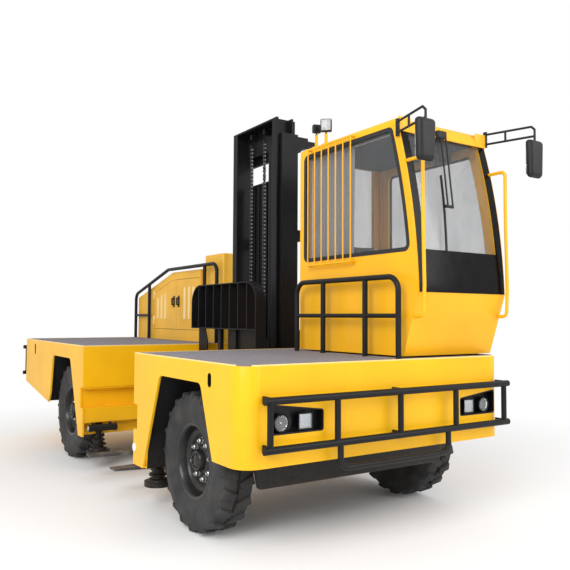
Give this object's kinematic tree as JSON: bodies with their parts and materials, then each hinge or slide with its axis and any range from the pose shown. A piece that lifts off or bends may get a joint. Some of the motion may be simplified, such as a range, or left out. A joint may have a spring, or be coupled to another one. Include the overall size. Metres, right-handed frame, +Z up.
{
  "type": "side loader forklift",
  "caption": "Side loader forklift with a cab ahead of the mast bay, an engine hood behind it, and a mast that traverses, tilts and lifts its forks over the load side.",
  "frame": {"origin": "on the ground under the middle of the machine's overall box", "axes": "+X forwards, towards the bar with the step; +Y towards the driver's side, -Y towards the load side; +Z up"},
  "size_m": [6.3477, 2.78, 3.7],
  "materials": {
    "yellow_paint": "semi-gloss yellow paint",
    "black_frame": "satin charcoal black paint",
    "mast_black": "satin black paint on rolled steel",
    "deck_tread": "grey checker plate",
    "tyre": "black rubber",
    "rim_black": "satin black paint",
    "axle_iron": "black painted casting",
    "chain_steel": "oiled steel",
    "rod_chrome": "polished rod",
    "fork_steel": "black paint on forged steel",
    "glass": "clear safety glass",
    "lamp": "black plastic with clear lenses",
    "cab_trim": "dark grey moulded plastic",
    "seat_vinyl": "black vinyl",
    "mount_rubber": "black rubber",
    "mirror_black": "black plastic"
  },
  "bodies": {
    "chassis": {"front_module": "yellow_paint", "rear_module": "yellow_paint", "deck_plates": "deck_tread", "underframe": "black_frame", "traverse_rails": "yellow_paint", "front_axle": "axle_iron", "rear_axle": "axle_iron", "jack_housings": "black_frame", "headlamps": "lamp", "front_bar": "black_frame", "rear_bar": "black_frame", "cab_tub": "yellow_paint", "cab_frame": "yellow_paint", "cab_roof": "yellow_paint", "cab_glass": "glass", "cab_mounts": "mount_rubber", "cab_boxes": "cab_trim", "seat": "seat_vinyl", "steering_column": "cab_trim", "window_guard": "yellow_paint", "grab_rails": "yellow_paint", "mirrors": "mirror_black", "work_lamps": "lamp", "tank": "yellow_paint", "engine": "axle_iron", "hood": "yellow_paint", "rear_rail": "black_frame", "cab_rail": "black_frame"},
    "steer_load": {"knuckle_load": "axle_iron"},
    "steer_driver": {"knuckle_driver": "axle_iron"},
    "tie": {"tie_rod": "axle_iron"},
    "wheel_front_load": {"tyre_front_load": "tyre", "rim_front_load": "rim_black"},
    "wheel_front_driver": {"tyre_front_driver": "tyre", "rim_front_driver": "rim_black"},
    "wheel_rear_load": {"tyre_rear_load": "tyre", "rim_rear_load": "rim_black"},
    "wheel_rear_driver": {"tyre_rear_driver": "tyre", "rim_rear_driver": "rim_black"},
    "door": {"cab_door": "yellow_paint", "door_window": "glass"},
    "hood_flap_rear": {"hood_door_rear": "yellow_paint"},
    "hood_flap_front": {"hood_door_front": "yellow_paint"},
    "jack_leg_front": {"jack_front": "black_frame"},
    "jack_leg_rear": {"jack_rear": "black_frame"},
    "carriage": {"traverse_carriage": "black_frame"},
    "mast": {"outer_mast": "mast_black"},
    "mast_inner": {"inner_mast": "mast_black", "lift_cylinder": "mast_black", "lift_chains": "chain_steel"},
    "fork_frame": {"fork_carriage": "mast_black", "backrest": "mast_black", "forks": "fork_steel"},
    "tilt_barrel": {"tilt_barrels": "black_frame"},
    "tilt_rod": {"tilt_rods": "rod_chrome"}
  },
  "joints": [
    {"name": "steering", "type": "hinge", "parent": "chassis", "child": "steer_load", "pos_m": [1.948, -0.97, 0.525], "axis": [0, 0, 1], "range_deg": [-30, 30]},
    {"name": "steering_driver", "type": "hinge", "parent": "chassis", "child": "steer_driver", "pos_m": [1.948, 0.79, 0.525], "axis": [0, 0, 1], "range_deg": [-30, 30]},
    {"name": "tie_slide", "type": "slide", "parent": "chassis", "child": "tie", "axis": [0, -1, 0], "range_m": [-0.09, 0.09]},
    {"name": "spin_front_load", "type": "hinge", "parent": "steer_load", "child": "wheel_front_load", "pos_m": [1.948, -1.1, 0.525], "axis": [0, 1, 0], "continuous": true},
    {"name": "spin_front_driver", "type": "hinge", "parent": "steer_driver", "child": "wheel_front_driver", "pos_m": [1.948, 0.92, 0.525], "axis": [0, 1, 0], "continuous": true},
    {"name": "spin_rear_load", "type": "hinge", "parent": "chassis", "child": "wheel_rear_load", "pos_m": [-1.247, -1.1, 0.525], "axis": [0, 1, 0], "continuous": true},
    {"name": "spin_rear_driver", "type": "hinge", "parent": "chassis", "child": "wheel_rear_driver", "pos_m": [-1.247, 0.92, 0.525], "axis": [0, 1, 0], "continuous": true},
    {"name": "cab_door_hinge", "type": "hinge", "parent": "chassis", "child": "door", "pos_m": [1.451, 1.1743, 2], "axis": [0, 0, 1], "range_deg": [0, 75]},
    {"name": "hood_door_rear_hinge", "type": "hinge", "parent": "chassis", "child": "hood_flap_rear", "pos_m": [-2.4225, 0.2617, 1.8], "axis": [0, 0, -1], "range_deg": [0, 85]},
    {"name": "hood_door_front_hinge", "type": "hinge", "parent": "chassis", "child": "hood_flap_front", "pos_m": [-0.9875, 0.2617, 1.8], "axis": [0, 0, 1], "range_deg": [0, 85]},
    {"name": "jack_front_slide", "type": "slide", "parent": "chassis", "child": "jack_leg_front", "axis": [0, 0, -1], "range_m": [0, 0.16]},
    {"name": "jack_rear_slide", "type": "slide", "parent": "chassis", "child": "jack_leg_rear", "axis": [0, 0, -1], "range_m": [0, 0.16]},
    {"name": "mast_traverse", "type": "slide", "parent": "chassis", "child": "carriage", "axis": [0, -1, 0], "range_m": [0, 1.25]},
    {"name": "mast_tilt", "type": "hinge", "parent": "carriage", "child": "mast", "pos_m": [0.3205, 0.53, 0.48], "axis": [1, 0, 0], "range_deg": [-3, 3]},
    {"name": "mast_lift", "type": "slide", "parent": "mast", "child": "mast_inner", "axis": [0, 0, 1], "range_m": [0, 1.6]},
    {"name": "fork_lift", "type": "slide", "parent": "mast_inner", "child": "fork_frame", "axis": [0, 0, 1], "range_m": [0, 1.6]},
    {"name": "tilt_barrel_hinge", "type": "hinge", "parent": "carriage", "child": "tilt_barrel", "pos_m": [0.3205, 0.86, 0.765], "axis": [1, 0, 0], "range_deg": [-4, 4]},
    {"name": "tilt_rod_slide", "type": "slide", "parent": "tilt_barrel", "child": "tilt_rod", "axis": [0, -0.4795, 0.8775], "range_m": [-0.05, 0.05]}
  ],
  "couplings": [
    {"joint": "steering_driver", "follows": "steering", "ratio": 1},
    {"joint": "tie_slide", "follows": "steering", "m_per_rad": 0.15},
    {"joint": "fork_lift", "follows": "mast_lift", "ratio": 1},
    {"joint": "tilt_barrel_hinge", "follows": "mast_tilt", "ratio": 1.1663},
    {"joint": "tilt_rod_slide", "follows": "mast_tilt", "m_per_rad": 0.42624}
  ]
}
